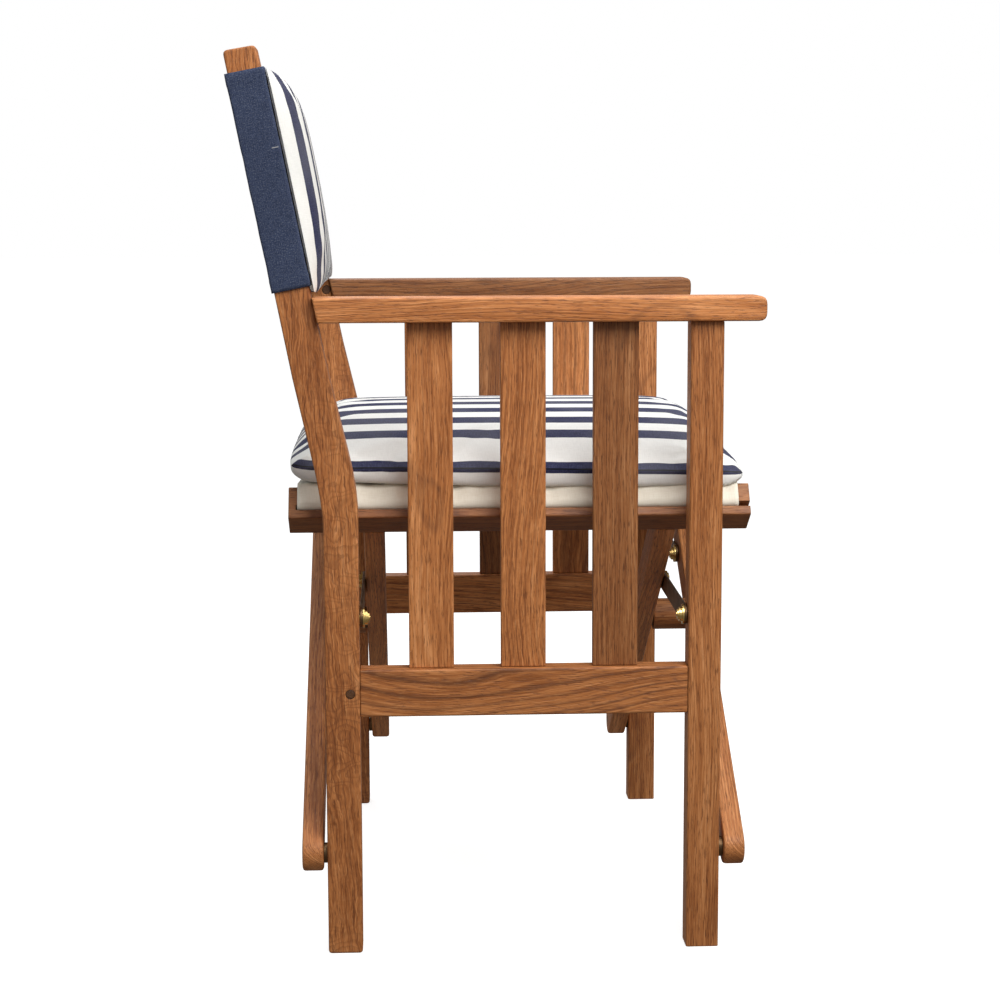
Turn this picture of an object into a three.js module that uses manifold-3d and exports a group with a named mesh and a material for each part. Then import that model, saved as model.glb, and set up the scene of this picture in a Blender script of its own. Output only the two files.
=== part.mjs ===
// Folding director's chair: two slatted side frames, two pairs of crossed legs that carry the seat
// rails, flat metal stay straps, a canvas seat sling with a loose cushion and a padded back panel.
// Millimetres, +Z up, the front of the chair faces -Y, and the sitter's right is -X.
import * as THREE from 'three';
import { mergeVertices } from 'three/addons/utils/BufferGeometryUtils.js';
import Module from 'manifold-3d';

const wasm = await Module();
wasm.setup();

// ---- driving dimensions ----
const GAP = 0.3; // clearance between neighbouring pieces
const SIDES = 24; // facets round a bolt or a bore

// side frames, measured in X from the chair's middle plane
const FRAME_X = 271; // middle of the posts, and the plane of the foot pivots
const POST_THICK = 28;
const FRONT_POST = { front: -194, rear: -161.5, top: 624.2 };
const REAR_POST_FRONT = 160.5;
const REAR_POST_REAR = 194.5;
const EASE = 2.4; // eased edges of the teak
const ARM = { low: 624.5, high: 648.5, front: -234, width: 44, nose: 8 };
const SIDE_RAIL = { low: 239, high: 286.2, thick: 25 };
const SLAT = { wide: 44, thick: 12, middles: [90.2, 0.1, -90.1] };
const PEG_R = 4.4;
const PEG_AT = [169.9, 262.6];
const PLUG_R = 5;
const PLUG_AT = [205.5, 636];

// crossed legs and seat rails, in the X-Z plane
const FOOT_Z = 99.5;
const CROSS_Z = 284.8;
const LEG_WIDE = 35;
const LEG_THICK = 21;
const RAIL_FROM_CROSS = 267.3; // crossing to the middle of the seat rail, along the leg
const RAIL_DEEP = 34.2; // across the end of the leg
const RAIL_Y = [-228.5, 229.8];
const GROOVE = { up: 12, wide: 5.6, deep: 13, stop: 222.5 };
const LEG_EASE = 2.8; // the legs' edges are rounder than the frame's
const OUTER_FRONT_LEG = -219.5; // front face of each leg
const INNER_FRONT_LEG = -157.5;
const INNER_REAR_LEG = 135.5;
const OUTER_REAR_LEG = 198.3;

// metal fittings
const FOOT_PIN_R = 5;
const CROSS_BOLT_R = 4;
const SUNK = { r: 8.5, deep: 4 }; // the crossing bolt's head and nut lie flush in the legs
const SPACER_R = 17.2;
const WASHER = { r: 12, thick: 1.9 };
const STRAP = { wide: 20, thick: 2.6 };
const STRAP_BOLT_R = 3;
const STRAP_POST_Z = 336; // height of the strap's pivot on the post
const STRAP_ON_LEG = 97; // crossing to the strap's pivot on the leg, along the leg

// soft parts
const CLOTH = 1.8;
const SLING_Y = [-216.5, 221.5];
const CUSHION = {
  x: 235,
  front: -224,
  rear: 229.6,
  seamFront: 472,
  seamRear: 480,
  crest: 527,
  base: 459.2,
};
// heights and depths along the rear post's slope, from the point where the slope meets the arm
const SLOPE_FROM = [194, 620];
const SLEEVE = { low: 41, high: 250, wall: 1.6, front: 2.6, rear: 36.5 };
const PANEL = { halfWide: 254.5, low: 38, high: 248, plane: 5, proud: 30, behind: 12, edge: 3.2 };
const SLOPE = Math.atan(0.2);

// ---- materials ----
const paint = (color, roughness, metalness = 0) =>
  new THREE.MeshStandardMaterial({ color, roughness, metalness });
const TEAK = paint(0xa5683c, 0.6);
const DARK_PLUG = paint(0x5a3722, 0.7);
const BRASS = paint(0xc9a24a, 0.3, 1);
const BRONZE = paint(0x4a3524, 0.45, 0.8);
const CANVAS = paint(0xe6e0d0, 0.9);
const NAVY = paint(0x2e3350, 0.9);
const STRIPE = paint(0xdadbe0, 0.9);

// ---- solid helpers ----
const toSolid = (geometry) => {
  const bare = geometry.clone();
  bare.deleteAttribute('uv');
  bare.deleteAttribute('normal');
  const merged = mergeVertices(bare, 1e-3);
  return new wasm.Manifold(
    new wasm.Mesh({
      numProp: 3,
      vertProperties: new Float32Array(merged.attributes.position.array),
      triVerts: new Uint32Array(merged.index.array),
    }),
  );
};

const toGeometry = (solid) => {
  const mesh = solid.getMesh();
  const geometry = new THREE.BufferGeometry();
  geometry.setAttribute('position', new THREE.BufferAttribute(mesh.vertProperties, 3));
  geometry.setIndex(new THREE.BufferAttribute(mesh.triVerts, 1));
  const flat = geometry.toNonIndexed();
  flat.computeVertexNormals();
  return flat;
};

// closed outline with each corner rounded by its own radius
const roundedShape = (corners, radii) => {
  const shape = new THREE.Shape();
  const n = corners.length;
  corners.forEach((corner, i) => {
    const here = new THREE.Vector2(...corner);
    const before = new THREE.Vector2(...corners[(i + n - 1) % n]).sub(here);
    const after = new THREE.Vector2(...corners[(i + 1) % n]).sub(here);
    const radius = Array.isArray(radii) ? radii[i] : radii;
    const turn = Math.abs(before.angleTo(after));
    const reach = radius / Math.tan(turn / 2);
    const start = here.clone().addScaledVector(before.normalize(), reach);
    const end = here.clone().addScaledVector(after.normalize(), reach);
    if (i === 0) shape.moveTo(start.x, start.y);
    else shape.lineTo(start.x, start.y);
    if (radius > 0.01) shape.quadraticCurveTo(here.x, here.y, end.x, end.y);
  });
  shape.closePath();
  return shape;
};

const rectangle = (u0, u1, v0, v1) => [[u0, v0], [u1, v0], [u1, v1], [u0, v1]];

// where an extrusion's own axes go: "X" takes a (Y, Z) outline, "Y" an (X, Z) outline, "Z" an (X, Y) one
const TURNS = {
  X: new THREE.Matrix4().set(0, 0, 1, 0, 1, 0, 0, 0, 0, 1, 0, 0, 0, 0, 0, 1),
  Y: new THREE.Matrix4().set(1, 0, 0, 0, 0, 0, -1, 0, 0, 1, 0, 0, 0, 0, 0, 1),
  Z: new THREE.Matrix4(),
};

const extruded = (axis, shape, from, to, ease = 0, curveSegments = 3) => {
  const geometry = new THREE.ExtrudeGeometry(shape, {
    depth: to - from - 2 * ease,
    bevelEnabled: ease > 0,
    bevelThickness: ease,
    bevelSize: ease,
    bevelOffset: -ease,
    bevelSegments: 2,
    curveSegments,
  });
  geometry.translate(0, 0, axis === 'Y' ? -to + ease : from + ease);
  geometry.applyMatrix4(TURNS[axis]);
  return toSolid(geometry);
};

const bar = (axis, outline, from, to, ease = EASE) =>
  extruded(axis, roundedShape(outline, ease), from, to, ease * 0.4);

// round pin along Y at (x, z): rings is a list of [radius, start, end], each meeting the next
const turned = (x, z, rings) => {
  const points = [new THREE.Vector2(0, rings[0][1])];
  rings.forEach(([radius, start, end]) => {
    points.push(new THREE.Vector2(radius, start), new THREE.Vector2(radius, end));
  });
  points.push(new THREE.Vector2(0, rings[rings.length - 1][2]));
  return toSolid(new THREE.LatheGeometry(points, SIDES)).translate([x, 0, z]);
};

const pinAlongY = (x, z, radius, y0, y1) => turned(x, z, [[radius, Math.min(y0, y1), Math.max(y0, y1)]]);

const pinAlongX = (y, z, radius, x0, x1) =>
  turned(0, 0, [[radius, Math.min(x0, x1), Math.max(x0, x1)]]).rotate([0, 0, -90]).translate([0, y, z]);

// from the frame of the rear posts' slope to the chair's
const sloped = (solid) => solid.rotate([(-SLOPE * 180) / Math.PI, 0, 0]).translate([0, ...SLOPE_FROM]);

// ---- the assembly ----
const chair = new THREE.Group();
chair.name = 'folding_chair';
const add = (name, solid, material) => {
  const mesh = new THREE.Mesh(toGeometry(solid), material);
  mesh.name = name;
  chair.add(mesh);
};

// a point on a leg: along from the crossing towards its top, across towards its upper face
const legAngle = Math.atan2(FRAME_X, CROSS_Z - FOOT_Z); // from the vertical
const legLow = Math.hypot(FRAME_X, CROSS_Z - FOOT_Z); // crossing to foot pivot
const onLeg = (topSide, along, across) => [
  topSide * (Math.sin(legAngle) * along - Math.cos(legAngle) * across),
  CROSS_Z + Math.cos(legAngle) * along + Math.sin(legAngle) * across,
];

// side frames
const slantedFront = (z) => 204.5 + (z - 658) * 0.2046; // front face of the rear post above the arm
const rearPostOutline = () => {
  const shape = new THREE.Shape();
  shape.moveTo(REAR_POST_FRONT + 4, 0);
  shape.lineTo(REAR_POST_REAR - 4, 0);
  shape.quadraticCurveTo(REAR_POST_REAR, 0, REAR_POST_REAR, 4);
  shape.lineTo(REAR_POST_REAR, 428);
  shape.quadraticCurveTo(REAR_POST_REAR, 446, 202, 484);
  shape.lineTo(221.5, 571);
  shape.lineTo(281, 874.6);
  shape.quadraticCurveTo(282, 879.5, 277.1, 880.4);
  shape.lineTo(255.9, 884.1);
  shape.quadraticCurveTo(251, 885, 250, 880.1);
  shape.lineTo(204.5, 658);
  shape.lineTo(186.5, 572);
  shape.lineTo(169.5, 500);
  shape.quadraticCurveTo(REAR_POST_FRONT, 462, REAR_POST_FRONT, 436);
  shape.lineTo(REAR_POST_FRONT, 4);
  shape.quadraticCurveTo(REAR_POST_FRONT, 0, REAR_POST_FRONT + 4, 0);
  return shape;
};

const armOutline = roundedShape(
  [
    [ARM.front, ARM.low],
    [slantedFront(ARM.low) - GAP * 1.5, ARM.low],
    [slantedFront(ARM.high) - GAP * 1.5, ARM.high],
    [ARM.front, ARM.high],
  ],
  [ARM.nose, 0, 0, ARM.nose],
);

// a strap's pivots and the Y layers that it and its bolts use; out points away from the face it lies on
const straps = [
  { side: -1, end: 'front', postFace: FRONT_POST.rear, legFace: INNER_FRONT_LEG },
  { side: -1, end: 'rear', postFace: REAR_POST_FRONT, legFace: INNER_REAR_LEG + LEG_THICK },
  { side: 1, end: 'front', postFace: FRONT_POST.front, legFace: OUTER_FRONT_LEG + LEG_THICK },
  { side: 1, end: 'rear', postFace: REAR_POST_REAR, legFace: OUTER_REAR_LEG },
];

const HAND = { '-1': 'right', 1: 'left' }; // the sitter's hands

[-1, 1].forEach((side) => {
  const hand = HAND[side];
  const across = (half) => [side * FRAME_X - half, side * FRAME_X + half];
  const [post0, post1] = across(POST_THICK / 2);
  const outerFace = side * (FRAME_X + POST_THICK / 2);
  const innerFace = side * (FRAME_X - POST_THICK / 2);

  // bores in the posts for the foot pins and the strap bolts
  const footHole = (y0, y1) => pinAlongY(side * FRAME_X, FOOT_Z, FOOT_PIN_R + GAP, y0, y1);
  const strapHole = (y0, y1) => pinAlongY(side * FRAME_X, STRAP_POST_Z, STRAP_BOLT_R + GAP, y0, y1);
  // each post has its leg on one face and its stay strap on the opposite face
  const boresBetween = (legSide, strapSide) => {
    const intoPost = Math.sign(strapSide - legSide);
    return [
      footHole(legSide - intoPost, legSide + intoPost * 26),
      strapHole(strapSide + intoPost, strapSide - intoPost * 19),
    ];
  };
  const front = [FRONT_POST.front, FRONT_POST.rear];
  const rear = [REAR_POST_REAR, REAR_POST_FRONT];
  const frontBores = side < 0 ? boresBetween(...front) : boresBetween(...front.reverse());
  const rearBores = side < 0 ? boresBetween(...rear) : boresBetween(...rear.reverse());
  const pegBore = pinAlongX(...PEG_AT, PEG_R + GAP, outerFace + side, outerFace - side * 8);
  const plugBore = pinAlongX(...PLUG_AT, PLUG_R + GAP, innerFace - side, innerFace + side * 8);

  const frontPost = bar('Z', rectangle(post0, post1, FRONT_POST.front, FRONT_POST.rear), 0, FRONT_POST.top);
  add(`${hand}_front_post`, frontBores.reduce((solid, bore) => solid.subtract(bore), frontPost), TEAK);
  const rearPost = extruded('X', rearPostOutline(), post0, post1, 1.7, 5);
  add(
    `${hand}_rear_post`,
    [...rearBores, pegBore, plugBore].reduce((solid, bore) => solid.subtract(bore), rearPost),
    TEAK,
  );
  const [arm0, arm1] = across(ARM.width / 2);
  add(`${hand}_armrest`, extruded('X', armOutline, arm0, arm1, EASE, 4), TEAK);
  const [rail0, rail1] = across(SIDE_RAIL.thick / 2);
  const railOutline = rectangle(rail0, rail1, SIDE_RAIL.low, SIDE_RAIL.high);
  add(
    `${hand}_side_rail`,
    extruded('Y', roundedShape(railOutline, EASE), FRONT_POST.rear + GAP, REAR_POST_FRONT - GAP, 0.5),
    TEAK,
  );
  const [slat0, slat1] = across(SLAT.thick / 2);
  SLAT.middles.forEach((middle, i) => {
    const outline = rectangle(slat0, slat1, middle - SLAT.wide / 2, middle + SLAT.wide / 2);
    const slat = extruded('Z', roundedShape(outline, 1.6), SIDE_RAIL.high + GAP, ARM.low - GAP, 0.4);
    add(`${hand}_slat_${['rear', 'middle', 'front'][i]}`, slat, TEAK);
  });
  const peg = pinAlongX(...PEG_AT, PEG_R, outerFace + side * 0.4, outerFace - side * 7.6);
  const plug = pinAlongX(...PLUG_AT, PLUG_R, innerFace - side * 0.5, innerFace + side * 7.6);
  add(`${hand}_rail_peg`, peg, DARK_PLUG);
  add(`${hand}_arm_plug`, plug, DARK_PLUG);

  // back sleeve: a canvas tube round the sloping part of the rear post
  const tube = (inside, low, high) =>
    sloped(
      extruded(
        'Z',
        roundedShape(
          rectangle(post0 - inside, post1 + inside, SLEEVE.front - inside, SLEEVE.rear + inside),
          2 + inside,
        ),
        low,
        high,
      ),
    );
  add(
    `${hand}_back_sleeve`,
    tube(GAP + SLEEVE.wall, SLEEVE.low, SLEEVE.high).subtract(tube(GAP, SLEEVE.low - 5, SLEEVE.high + 5)),
    NAVY,
  );

  // seat rail across the top of the leg pair that ends on this side, with the groove for the sling's hem
  const outer = RAIL_FROM_CROSS + RAIL_DEEP / 2;
  const half = LEG_WIDE / 2;
  const quad = (a0, a1, c0, c1) => {
    const corners = [[a0, c0], [a1, c0], [a1, c1], [a0, c1]].map(([a, c]) => onLeg(side, a, c));
    return side > 0 ? corners : corners.reverse();
  };
  const rail = bar('Y', quad(outer - RAIL_DEEP, outer, -half, half), ...RAIL_Y, 2);
  const low = -half + GROOVE.up - GROOVE.wide / 2;
  const groove = extruded(
    'Y',
    roundedShape(quad(outer - GROOVE.deep, outer + 4, low, low + GROOVE.wide), 0),
    RAIL_Y[0] - 1,
    GROOVE.stop,
  );
  add(`${hand}_seat_rail`, rail.subtract(groove), TEAK);
  const rodAt = onLeg(side, outer - GROOVE.deep + 3, low + GROOVE.wide / 2);
  add(`${hand}_hem_rod`, pinAlongY(...rodAt, 2.4, SLING_Y[0] + 1, SLING_Y[1] - 1), TEAK);
});

// legs: the outer pair runs from the right feet to the left seat rail, the inner pair the other way
const legs = [
  { name: 'outer_front_leg', topSide: 1, y: OUTER_FRONT_LEG, post: FRONT_POST.front },
  { name: 'inner_front_leg', topSide: -1, y: INNER_FRONT_LEG, post: FRONT_POST.rear },
  { name: 'inner_rear_leg', topSide: -1, y: INNER_REAR_LEG, post: REAR_POST_FRONT },
  { name: 'outer_rear_leg', topSide: 1, y: OUTER_REAR_LEG, post: REAR_POST_REAR },
];
legs.forEach(({ name, topSide, y, post }) => {
  const half = LEG_WIDE / 2;
  const top = RAIL_FROM_CROSS - RAIL_DEEP / 2 - GAP;
  const shape = new THREE.Shape();
  const at = (a, c) => new THREE.Vector2(...onLeg(topSide, a, c));
  const outline = [at(top, -half), at(top, half)];
  for (let i = 0; i <= 10; i += 1) {
    const turn = (Math.PI * i) / 10;
    outline.push(at(-legLow - half * Math.sin(turn), half * Math.cos(turn)));
  }
  if (THREE.ShapeUtils.area(outline) < 0) outline.reverse();
  shape.setFromPoints(outline);
  const footX = -topSide * FRAME_X;
  const away = Math.sign(y + LEG_THICK / 2 - post); // from the post towards the leg
  const nearFace = away > 0 ? y : y + LEG_THICK;
  const farFace = nearFace + away * LEG_THICK;
  const leg = extruded('Y', shape, y, y + LEG_THICK, LEG_EASE)
    .subtract(pinAlongY(footX, FOOT_Z, FOOT_PIN_R + GAP, y - 1, y + LEG_THICK + 1))
    .subtract(pinAlongY(0, CROSS_Z, CROSS_BOLT_R + GAP, y - 1, y + LEG_THICK + 1))
    .subtract(pinAlongY(0, CROSS_Z, SUNK.r + GAP, farFace - away * SUNK.deep, farFace + away));
  add(name, leg, TEAK);

  // foot pin: flush in the leg's far face, a collar in the gap, and its tip inside the post
  const rings = [
    [FOOT_PIN_R, farFace - away * GAP, nearFace - away * GAP],
    [10, nearFace - away * GAP, post + away * GAP],
    [FOOT_PIN_R, post + away * GAP, post - away * 24],
  ];
  const ordered = away > 0 ? rings.reverse().map(([r, a, b]) => [r, b, a]) : rings;
  add(name.replace('leg', 'foot_pin'), turned(footX, FOOT_Z, ordered), BRONZE);
});

// crossing: flush bolt and nut, wooden spacer and a washer at each end of the spacer
[
  { end: 'front', head: OUTER_FRONT_LEG, nut: INNER_FRONT_LEG + LEG_THICK },
  { end: 'rear', head: OUTER_REAR_LEG + LEG_THICK, nut: INNER_REAR_LEG },
].forEach(({ end, head, nut }) => {
  const inward = Math.sign(nut - head);
  const ringsOf = (rings) => (inward > 0 ? rings : rings.reverse().map(([r, a, b]) => [r, b, a]));
  const underHead = head + inward * (SUNK.deep - GAP);
  const underNut = nut - inward * (SUNK.deep - GAP);
  const boltRings = [
    [SUNK.r, head, underHead],
    [CROSS_BOLT_R, underHead, underNut + inward * 2.5],
  ];
  add(`${end}_cross_bolt`, turned(0, CROSS_Z, ringsOf(boltRings)), BRASS);
  const nutBore = pinAlongY(0, CROSS_Z, CROSS_BOLT_R + 0.1, underNut - inward, underNut + inward * 2.8);
  const nutBlank = pinAlongY(0, CROSS_Z, SUNK.r, underNut, nut);
  add(`${end}_cross_nut`, nutBlank.subtract(nutBore), BRASS);
  const inside0 = head + inward * LEG_THICK;
  const inside1 = nut - inward * LEG_THICK;
  const bore = pinAlongY(0, CROSS_Z, CROSS_BOLT_R + GAP, head, nut);
  const ring = (radius, from, to, name, material) =>
    add(name, pinAlongY(0, CROSS_Z, radius, from, to).subtract(bore), material);
  const step = inward * (GAP + WASHER.thick);
  ring(WASHER.r, inside0 + inward * GAP, inside0 + step, `${end}_cross_washer_outer`, BRONZE);
  ring(WASHER.r, inside1 - inward * GAP, inside1 - step, `${end}_cross_washer_inner`, BRONZE);
  const from = inside0 + step + inward * GAP;
  const to = inside1 - step - inward * GAP;
  ring(SPACER_R, from, to, `${end}_spacer`, TEAK);
});

// stay straps and the bolts at their two ends
straps.forEach(({ side, end, postFace, legFace }) => {
  const name = `${HAND[side]}_${end}_strap`;
  const out = Math.sign(legFace - postFace); // from the post's face towards the leg's face
  const middle = (postFace + legFace) / 2;
  const y0 = middle - STRAP.thick / 2;
  const y1 = middle + STRAP.thick / 2;
  const postPivot = [side * FRAME_X, STRAP_POST_Z];
  const legPivot = onLeg(side, STRAP_ON_LEG, 0);
  const r = STRAP.wide / 2;
  const lean = Math.atan2(legPivot[1] - postPivot[1], legPivot[0] - postPivot[0]);
  const outline = [];
  [[legPivot, lean], [postPivot, lean + Math.PI]].forEach(([pivot, facing]) => {
    for (let i = 0; i <= 10; i += 1) {
      const turn = facing - Math.PI / 2 + (Math.PI * i) / 10;
      outline.push(new THREE.Vector2(pivot[0] + r * Math.cos(turn), pivot[1] + r * Math.sin(turn)));
    }
  });
  const shape = new THREE.Shape().setFromPoints(outline);
  const hole = (pivot) => pinAlongY(...pivot, STRAP_BOLT_R + GAP, y0 - 1, y1 + 1);
  add(name, extruded('Y', shape, y0, y1, 0.4).subtract(hole(postPivot)).subtract(hole(legPivot)), BRONZE);

  // a bolt stands on the strap's face that looks along way; its shank goes back as far as tip
  const bolt = (label, pivot, way, tip) => {
    const seat = middle + way * (STRAP.thick / 2 + GAP);
    const rings = [
      [STRAP_BOLT_R, tip, seat],
      [10, seat, seat + way * 1.5],
      [7.2, seat + way * 1.5, seat + way * 4.6],
      [5.2, seat + way * 4.6, seat + way * 6.2],
      [2.4, seat + way * 6.2, seat + way * 7],
    ];
    const ordered = way > 0 ? rings : rings.reverse().map(([radius, a, b]) => [radius, b, a]);
    add(`${name}_${label}_bolt`, turned(...pivot, ordered), BRASS);
  };
  bolt('post', postPivot, out, postFace - out * 18);
  bolt('leg', legPivot, -out, legFace - out * GAP);
});

// ---- soft parts ----
// seat sling: from the groove of one rail, up its outer face, across, and down into the other groove
const slingPath = () => {
  const outer = RAIL_FROM_CROSS + RAIL_DEEP / 2;
  const lift = GAP + CLOTH / 2;
  const grooveAcross = -LEG_WIDE / 2 + GROOVE.up;
  const rightEnd = [
    onLeg(-1, outer - 6, grooveAcross),
    onLeg(-1, outer + lift, grooveAcross),
    onLeg(-1, outer + lift, LEG_WIDE / 2 - 1),
    onLeg(-1, outer + lift - 2.2, LEG_WIDE / 2 + lift),
  ];
  const sag = [[-150, 456.8], [-75, 454.6], [0, 453.8], [75, 454.6], [150, 456.8]];
  return [...rightEnd, ...sag, ...rightEnd.map(([x, z]) => [-x, z]).reverse()];
};

const band = (path, thick) => {
  const points = path.map((p) => new THREE.Vector2(...p));
  const offset = (way) =>
    points.map((p, i) => {
      const before = points[Math.max(i - 1, 0)];
      const after = points[Math.min(i + 1, points.length - 1)];
      const d0 = (i > 0 ? p.clone().sub(before) : after.clone().sub(p)).normalize();
      const d1 = (i < points.length - 1 ? after.clone().sub(p) : d0.clone()).normalize();
      const n0 = new THREE.Vector2(-d0.y, d0.x);
      const n1 = new THREE.Vector2(-d1.y, d1.x);
      const mitre = n0.clone().add(n1).normalize();
      return p.clone().addScaledVector(mitre, (way * thick) / 2 / mitre.dot(n0));
    });
  const outline = [...offset(-1), ...offset(1).reverse()];
  return new THREE.Shape().setFromPoints(outline);
};
add('seat_sling', extruded('Y', band(slingPath(), CLOTH), ...SLING_Y), CANVAS);

// closed pillow: place(u, v, face) gives a point for u, v inside the outline and face +1 or -1
const pillow = (rings, around, place) => {
  const positions = [...place(0, 0, 1)];
  const index = [];
  const rows = [];
  for (let side = 1; side >= -1; side -= 2) {
    for (let k = 1; k <= rings - (side < 0 ? 1 : 0); k += 1) {
      const share = Math.sin((Math.PI / 2) * (k / rings));
      const row = [];
      for (let i = 0; i < around; i += 1) {
        const turn = (2 * Math.PI * i) / around;
        const square = (t) => Math.sign(t) * Math.abs(t) ** 0.3;
        row.push(positions.length / 3);
        positions.push(...place(share * square(Math.cos(turn)), share * square(Math.sin(turn)), side));
      }
      rows.push({ side, row });
    }
  }
  const bottom = positions.length / 3;
  positions.push(...place(0, 0, -1));
  const top = rows.filter((r) => r.side > 0).map((r) => r.row);
  const under = rows.filter((r) => r.side < 0).map((r) => r.row);
  const loops = [...top, ...under.reverse()];
  for (let i = 0; i < around; i += 1) {
    const j = (i + 1) % around;
    index.push(0, loops[0][i], loops[0][j]);
    for (let k = 0; k + 1 < loops.length; k += 1) {
      index.push(loops[k][i], loops[k + 1][i], loops[k + 1][j]);
      index.push(loops[k][i], loops[k + 1][j], loops[k][j]);
    }
    index.push(bottom, loops[loops.length - 1][j], loops[loops.length - 1][i]);
  }
  const geometry = new THREE.BufferGeometry();
  geometry.setAttribute('position', new THREE.BufferAttribute(new Float32Array(positions), 3));
  geometry.setIndex(index);
  return toSolid(geometry);
};
const fullness = (u, v, power) => {
  const left = (t) => 1 - Math.abs(t) ** power;
  return Math.sqrt(Math.max(0, left(u) * left(v)));
};

// loose seat cushion with a seam round its middle
const cushionMiddle = (CUSHION.front + CUSHION.rear) / 2;
const cushionHalf = (CUSHION.rear - CUSHION.front) / 2;
add(
  'seat_cushion',
  pillow(9, 40, (u, v, face) => {
    const seam = CUSHION.seamFront + ((v + 1) / 2) * (CUSHION.seamRear - CUSHION.seamFront);
    const height = face > 0 ? CUSHION.crest - seam : seam - CUSHION.base;
    const swell = face * height * fullness(u, v, face > 0 ? 4 : 7);
    return [u * CUSHION.x, cushionMiddle + v * cushionHalf, seam + swell];
  }),
  STRIPE,
);

// padded back panel hung between the two sleeves
const panelMiddle = (PANEL.low + PANEL.high) / 2;
const panelHalf = (PANEL.high - PANEL.low) / 2;
const panel = pillow(8, 40, (u, v, face) => {
  const swell = face > 0 ? PANEL.behind : PANEL.proud;
  const thick = PANEL.edge + (swell - PANEL.edge) * fullness(u, v, 4);
  const off = face * thick * Math.min(1, fullness(u, v, 12) * 3);
  return [-u * PANEL.halfWide, PANEL.plane + off, panelMiddle + v * panelHalf];
});
add('back_panel', sloped(panel), STRIPE);

// origin at the middle of the base
const box = new THREE.Box3().setFromObject(chair);
const middle = box.getCenter(new THREE.Vector3());
chair.children.forEach((mesh) => mesh.geometry.translate(-middle.x, -middle.y, -box.min.z));

export default chair;
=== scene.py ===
import math

import bmesh
import bpy
import numpy as np
from mathutils import Matrix, Vector


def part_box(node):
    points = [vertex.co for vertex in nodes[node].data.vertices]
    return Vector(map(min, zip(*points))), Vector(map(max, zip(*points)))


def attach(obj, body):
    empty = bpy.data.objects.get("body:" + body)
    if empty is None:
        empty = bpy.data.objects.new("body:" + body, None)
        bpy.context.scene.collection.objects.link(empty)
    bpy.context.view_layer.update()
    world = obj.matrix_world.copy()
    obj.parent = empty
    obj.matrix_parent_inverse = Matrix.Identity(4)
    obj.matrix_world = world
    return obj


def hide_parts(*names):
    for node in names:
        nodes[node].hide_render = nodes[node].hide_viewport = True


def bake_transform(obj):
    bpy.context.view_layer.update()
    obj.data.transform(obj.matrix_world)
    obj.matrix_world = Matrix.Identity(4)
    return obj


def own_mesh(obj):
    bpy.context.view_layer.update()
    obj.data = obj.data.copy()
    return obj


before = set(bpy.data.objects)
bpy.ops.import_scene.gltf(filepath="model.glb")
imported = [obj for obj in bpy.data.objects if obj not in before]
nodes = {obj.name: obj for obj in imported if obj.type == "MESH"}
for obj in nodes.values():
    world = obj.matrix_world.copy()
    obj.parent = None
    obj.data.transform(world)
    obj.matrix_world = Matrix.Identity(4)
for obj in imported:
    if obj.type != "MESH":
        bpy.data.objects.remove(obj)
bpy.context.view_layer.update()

# ---------------------------------------------------------------- sizes, in metres
FRONT_POST_Y = -0.17775   # middle of the front posts, in the chair's own measure along its depth
post_low, post_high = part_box("right_front_post")
SHIFT_Y = (post_low[1] + post_high[1]) / 2 - FRONT_POST_Y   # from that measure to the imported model
CROSS_Z = 0.2848          # the crossing bolts
FOOT_Z = 0.0995           # the foot pins
FRAME_X = 0.271           # middle of the side frames
LEG_ANGLE = math.atan2(FRAME_X, CROSS_Z - FOOT_Z)   # of an open leg, from the vertical
RAIL_OUTER = 0.2844       # crossing to the seat rail's outer face, along the leg
POST_SLOPE = math.atan(0.2)
CANVAS = 0.0014           # thickness of the sling's canvas
SLEEVE_CANVAS = 0.0012    # and of the sleeves'


# ---------------------------------------------------------------- camera and light
def look(position, yaw, pitch, roll):
    """Camera matrix: yaw from +X towards +Y, pitch downwards, roll about the view."""
    ahead = Vector((math.cos(yaw) * math.cos(pitch), math.sin(yaw) * math.cos(pitch), -math.sin(pitch)))
    level = Vector((math.sin(yaw), -math.cos(yaw), 0.0))
    upright = level.cross(ahead)
    right = level * math.cos(roll) + upright * math.sin(roll)
    up = upright * math.cos(roll) - level * math.sin(roll)
    turn = Matrix((right, up, -ahead)).transposed().to_4x4()
    return Matrix.Translation(position) @ turn


# the camera's place and turn were fitted to the photo's near and far side frames
CAMERA_AT = (-2.3465, 0.1205 + SHIFT_Y, 0.7333)
CAMERA_YAW, CAMERA_PITCH, CAMERA_ROLL = -0.0472, 0.1351, -0.0031

camera = bpy.data.objects.new("camera", bpy.data.cameras.new("camera"))
bpy.context.scene.collection.objects.link(camera)
camera.data.sensor_width = 36.0
camera.data.lens = 77.5
camera.data.clip_end = 60.0
camera.matrix_world = look(Vector(CAMERA_AT), CAMERA_YAW, CAMERA_PITCH, CAMERA_ROLL)
bpy.context.scene.camera = camera


def area_light(name, position, target, size, power, colour=(1.0, 1.0, 1.0)):
    lamp = bpy.data.lights.new(name, "AREA")
    lamp.shape = "RECTANGLE"
    lamp.size, lamp.size_y = size
    lamp.energy = power
    lamp.color = colour
    o = bpy.data.objects.new(name, lamp)
    bpy.context.scene.collection.objects.link(o)
    o.location = position
    o.rotation_mode = "QUATERNION"
    o.rotation_quaternion = (Vector(target) - Vector(position)).to_track_quat("-Z", "Y")


CHAIR_MIDDLE = (0.0, 0.0, 0.55)
area_light("key", (-1.25, -0.60, 1.80), (0.0, 0.0, 0.75), (1.2, 1.2), 33.0, (1.0, 0.98, 0.95))
area_light("top", (0.15, 0.1, 2.5), CHAIR_MIDDLE, (1.6, 1.6), 25.0)
area_light("far_side", (1.9, 0.7, 1.7), CHAIR_MIDDLE, (1.2, 1.2), 10.0)


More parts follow.
